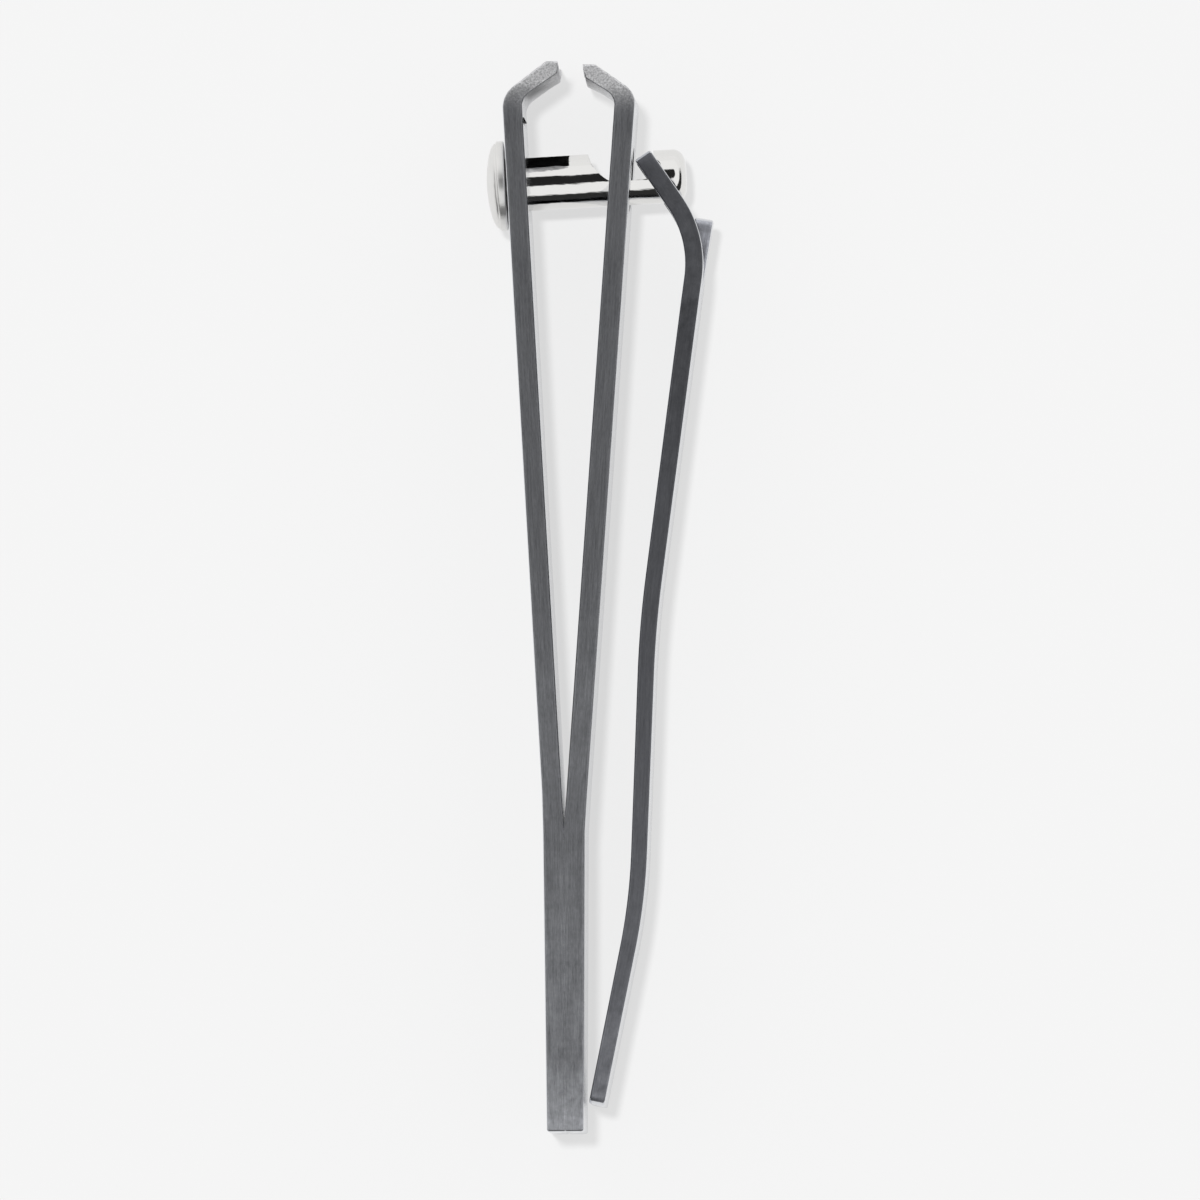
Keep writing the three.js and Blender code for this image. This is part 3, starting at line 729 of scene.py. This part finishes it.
def leverLine(corners):
    # the straights joined by arcs
    runs, start = [], corners[0]
    for i, piece in enumerate(leverRun):
        arc = cornerArc(corners[i], corners[i + 1], corners[i + 2], piece["bend"], 26)
        runs += [straight(start, arc[0], max(3, int(np.linalg.norm(arc[0] - start) / 0.35))), arc]
        start = arc[-1]
    runs.append(straight(start, corners[-1], 30))
    return joinRuns(runs)


def strip(name, line, front, end, halfWidth, edge, middleZ, materials, section):
    # a strip of even stock along a line, its cut ends rounded over the edge radius
    direction = unit(np.gradient(line, axis=0))
    direction[0], direction[-1] = unit(line[1] - line[0]), unit(line[-1] - line[-2])
    run = np.concatenate([[0], np.cumsum(np.linalg.norm(np.diff(line, axis=0), axis=1))])
    thickness = front + (end - front) * run / run[-1]
    normal = np.stack([-direction[:, 1], direction[:, 0]], 1)
    inset = np.maximum(0, edge - np.minimum(run, run[-1] - run))
    inset = edge - np.sqrt(np.maximum(0, edge ** 2 - inset ** 2))
    inner, outer = line - normal * thickness[:, None] / 2, line + normal * thickness[:, None] / 2
    grid = carrySection(inner, outer, halfWidth(run, run[-1]), middleZ, edge, inset, section)
    return meshFromGrid(name, grid, materials, sidesAndFaces)


def addEndStations(line, edge, more=()):
    # extra stations close to both ends, where edges and corners are rounded
    first = unit(line[1] - line[0])
    last = unit(line[-1] - line[-2])
    rounded = {round(edge * (1 - math.cos(a)), 5) for a in np.linspace(0.2, math.pi / 2, 5)}
    near = sorted(rounded | set(more))
    head = [line[0]] + [line[0] + first * d for d in near]
    tail = [line[-1] - last * d for d in near[::-1]] + [line[-1]]
    fromEnds = np.minimum(np.linalg.norm(line - line[0], axis=1), np.linalg.norm(line - line[-1], axis=1))
    return np.concatenate([head, line[fromEnds > near[-1] + 0.02], tail])


def leverHalf(run, length):
    # narrow at the nose, widening until the slits end, with round corners at both ends
    s = leverShape
    taper = np.clip(run / (s["noseLength"] + s["widens"]), 0, 1)
    half = s["noseHalf"] + (s["half"] - s["noseHalf"]) * taper
    nose = np.clip(s["noseRound"] - run, 0, None)
    half = half - (s["noseRound"] - np.sqrt(s["noseRound"] ** 2 - nose ** 2))
    end = np.clip(s["endRound"] - (length - run), 0, None)
    return half - (s["endRound"] - np.sqrt(s["endRound"] ** 2 - end ** 2))


def leverToneAndTongueHighlight(places, slitY):
    # darker than the leaves near the post and lighter at the end; the tongue, down in the slot's shade,
    # gets a painted highlight that makes it much lighter still
    s = leverShape
    behind = pivot[1] - places[:, 1]
    tone = np.interp(behind, [-0.9, 0, 2, 10, 40, 60, 68], [0.3, -0.15, -0.3, -0.3, 0.0, 0.3, 0.8])
    inSlot = np.abs(places[:, 2] - pivot[2]) < s["slotHalf"] - 0.9 * s["slit"]
    tongueHighlight = inSlot & (places[:, 1] > slitY + 0.3)
    nearBar = np.hypot(places[:, 0] - pivot[0], places[:, 1] - pivot[1]) < 2
    # painted highlight: the tongue's colour is lifted well above the rest of the lever
    return np.where(tongueHighlight & ~nearBar, 2.4, tone)


def makeLever():
    # the strip with its slot cut, then the tongue and the crossbar joined to it
    s = leverShape
    corners = leverCorners() + pivot[:2]
    rounds = [0.25, 0.4, 0.6, 0.8, 1.0, 1.2]
    line = addEndStations(leverLine(corners), s["edge"], rounds)
    section = roundedSection(across=26, up=7, corner=5)
    materials = [leverSides, leverFaces]
    piece = strip(
        "leverStrip", line, s["frontThickness"], s["endThickness"], leverHalf, s["edge"], pivot[2],
        materials, section,
    )
    # the slot runs from the nose to the slits' end
    slitEnd = corners[1] + headingVector(leverRun[1]["heading"]) * s["tongueRoot"]
    reach = 20.0      # beyond the lever
    slot = np.array([
        [pivot[0] - reach, slitEnd[1]], [pivot[0] + reach, slitEnd[1]],
        [pivot[0] + reach, pivot[1] + reach], [pivot[0] - reach, pivot[1] + reach],
    ])
    combine(piece, prism("slot", slot, pivot[2] - s["slotHalf"], pivot[2] + s["slotHalf"]), "DIFFERENCE")
    rise = -headingVector(leverRun[1]["heading"] - s["tongueRise"])
    tongueStart = slitEnd - rise * s["tongueThickness"]
    tongueEnd = slitEnd + rise * s["tongueLength"]
    tongueHalf = s["slotHalf"] - s["slit"]
    tongueLine = addEndStations(straight(tongueStart, tongueEnd, 24), s["edge"], [0.2, 0.35, 0.5])

    def halfWidth(run, length):
        # even, with round corners at the free end
        corner = s["tongueCorner"]
        end = np.clip(corner - (length - run), 0, None)
        return tongueHalf - (corner - np.sqrt(corner ** 2 - end ** 2))

    tongue = strip(
        "tongue", tongueLine, s["tongueThickness"] - 0.02, s["tongueThickness"], halfWidth,
        s["edge"], pivot[2], materials, roundedSection(across=10, up=5, corner=5),
    )
    combine(piece, tongue, "UNION")
    barEnd = np.array([0, 0, s["slotHalf"] + 0.6])      # its ends are buried in the strip
    combine(piece, rod("crossbar", pivot - barEnd, pivot + barEnd, s["crossbar"], 64), "UNION")
    setAttribute(piece, "tone", lambda places: leverToneAndTongueHighlight(places, slitEnd[1]))
    setAttribute(piece, "rough", lambda places: 0 * places[:, 0])
    weightNormals(piece)
    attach(piece, "lever")
    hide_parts("lever")
    return piece


lever = makeLever()
for weld in ("spot_weld_front", "spot_weld_rear"):
    frame["nodes"][weld].data.materials.clear()
    frame["nodes"][weld].data.materials.append(weldSteel)
print("stage: lever made")


studio = dict(
    floorSize=6.0, floorDrop=0.02, floorTone=0.12, floorGlow=0.655,
    sun=4.4, sunTilt=(3.2, 3.6), sunSoft=3.0,
    sky=[(0.0, 0.03), (0.4, 0.03), (0.5, 1.0), (0.935, 1.0), (0.96, 0.02), (1.0, 0.02)],
    skyTilt=0.15, front=0.95,
)


def makeFloor():
    # pale paper that glows, so that the sun's thin shadows show on it and the sky's hardly do
    half = studio["floorSize"] / 2
    mesh = bpy.data.meshes.new("floor")
    corners = [(-half, -half, 0), (half, -half, 0), (half, half, 0), (-half, half, 0)]
    mesh.from_pydata(corners, [], [(0, 1, 2, 3)])
    floor = bpy.data.objects.new("floor", mesh)
    floor.location.z = -studio["floorDrop"] * mm
    bpy.context.scene.collection.objects.link(floor)
    material, tree, shader = nodeMaterial("floorPaper")
    tone = studio["floorTone"]
    shader.inputs["Base Color"].default_value = (tone, tone, tone, 1)
    shader.inputs["Roughness"].default_value = 0.9
    shader.inputs["Specular IOR Level"].default_value = 0.1
    shader.inputs["Emission Color"].default_value = (1, 1, 1, 1)
    shader.inputs["Emission Strength"].default_value = studio["floorGlow"]
    mesh.materials.append(material)
    return floor


flagShape = dict(away=4.9, left=-2.8, right=0.3, bottom=0.05, top=9.9)


def makeFlag():
    # a dark card on edge beside the post, seen only in its reflection
    s = flagShape
    y = postFoot[1] + s["away"]
    x0, x1 = root[0] + s["left"], root[0] + s["right"]
    corners = [(x0, y, s["bottom"]), (x1, y, s["bottom"]), (x1, y, s["top"]), (x0, y, s["top"])]
    mesh = bpy.data.meshes.new("flag")
    mesh.from_pydata([tuple(v * mm for v in corner) for corner in corners], [], [(0, 1, 2, 3)])
    flag = bpy.data.objects.new("flag", mesh)
    bpy.context.scene.collection.objects.link(flag)
    material, tree, shader = nodeMaterial("flagCloth")
    shader.inputs["Base Color"].default_value = (0.01, 0.01, 0.01, 1)
    shader.inputs["Roughness"].default_value = 1
    shader.inputs["Specular IOR Level"].default_value = 0
    mesh.materials.append(material)
    flag.visible_camera = flag.visible_diffuse = flag.visible_shadow = False


def makeSky():
    # a soft studio: dark overhead, a bright band all round and dimmer near the horizon
    world = bpy.data.worlds.new("studio")
    bpy.context.scene.world = world
    world.use_nodes = True
    tree = world.node_tree
    place = tree.nodes.new("ShaderNodeTexCoord")
    split = tree.nodes.new("ShaderNodeSeparateXYZ")
    tree.links.new(place.outputs["Generated"], split.inputs["Vector"])
    ramp = tree.nodes.new("ShaderNodeValToRGB")
    ramp.color_ramp.interpolation = "EASE"
    stops = studio["sky"]
    elements = ramp.color_ramp.elements
    while len(elements) < len(stops):
        elements.new(0.5)
    for element, (at, value) in zip(elements, stops):
        element.position = at
        element.color = (value, value, value, 1)
    height = mathOf(tree, "MULTIPLY_ADD", split.outputs["Y"], studio["skyTilt"], split.outputs["Z"])
    tree.links.new(height, ramp.inputs["Fac"])
    # towards the jaws the low sky is bright too
    front = ranged(tree, split.outputs["Y"], 0, studio["front"], 0.15, 0.45)
    low = ranged(tree, height, 1, 0, 0.5, 0.6)
    both = mathOf(tree, "MAXIMUM", ramp.outputs["Color"], mathOf(tree, "MULTIPLY", front, low))
    background = tree.nodes["Background"]
    tree.links.new(both, background.inputs["Color"])
    background.inputs["Strength"].default_value = 1
    return world


def makeSun(floor):
    # lights the floor alone, for the thin soft shadow to the lower right
    light = bpy.data.lights.new("shadowSun", "SUN")
    light.energy = studio["sun"]
    light.angle = math.radians(studio["sunSoft"])
    sun = bpy.data.objects.new("shadowSun", light)
    bpy.context.scene.collection.objects.link(sun)
    tiltX, tiltY = (math.radians(v) for v in studio["sunTilt"])
    sun.rotation_euler = (-tiltY, -tiltX, 0)
    lit = bpy.data.collections.new("litBySun")
    lit.objects.link(floor)
    sun.light_linking.receiver_collection = lit
    return sun


view = dict(
    lens=900.0, sensor=36, tiltX=1.2, tiltY=-1.8, roll=0.294,
    frameWidth=89.4, centre=(2.70, 17.21),      # millimetres, the centre from the V's root
)


def makeCamera():
    # looks down on the side of the clipper from far off, jaws up in the picture
    data = bpy.data.cameras.new("camera")
    camera = bpy.data.objects.new("camera", data)
    bpy.context.scene.collection.objects.link(camera)
    data.sensor_width = view["sensor"]
    data.lens = view["lens"]
    data.clip_start, data.clip_end = 0.1, 10
    roll = math.radians(view["roll"])
    cx, cy = view["centre"]
    target = np.array([
        root[0] + cx * math.cos(roll) + cy * math.sin(roll),
        root[1] - cx * math.sin(roll) + cy * math.cos(roll),
        cadBox[1][2] / mm,
    ]) * mm
    tx, ty = math.radians(view["tiltX"]), math.radians(view["tiltY"])
    back = np.array([math.tan(tx), math.tan(ty), 1.0])
    back /= np.linalg.norm(back)
    distance = view["lens"] / view["sensor"] * view["frameWidth"] * mm
    camera.location = tuple(target + back * distance)
    up = np.array([math.sin(roll), math.cos(roll), 0])
    right = np.cross(up, back)
    right /= np.linalg.norm(right)
    up = np.cross(back, right)
    camera.matrix_world = Matrix((
        (right[0], up[0], back[0], camera.location[0]), (right[1], up[1], back[1], camera.location[1]),
        (right[2], up[2], back[2], camera.location[2]), (0, 0, 0, 1),
    ))
    bpy.context.scene.camera = camera
    return camera


floor = makeFloor()
makeFlag()
makeSky()
makeSun(floor)
makeCamera()
bpy.context.scene.view_settings.view_transform = "Standard"
print("stage: floor, light and camera set")
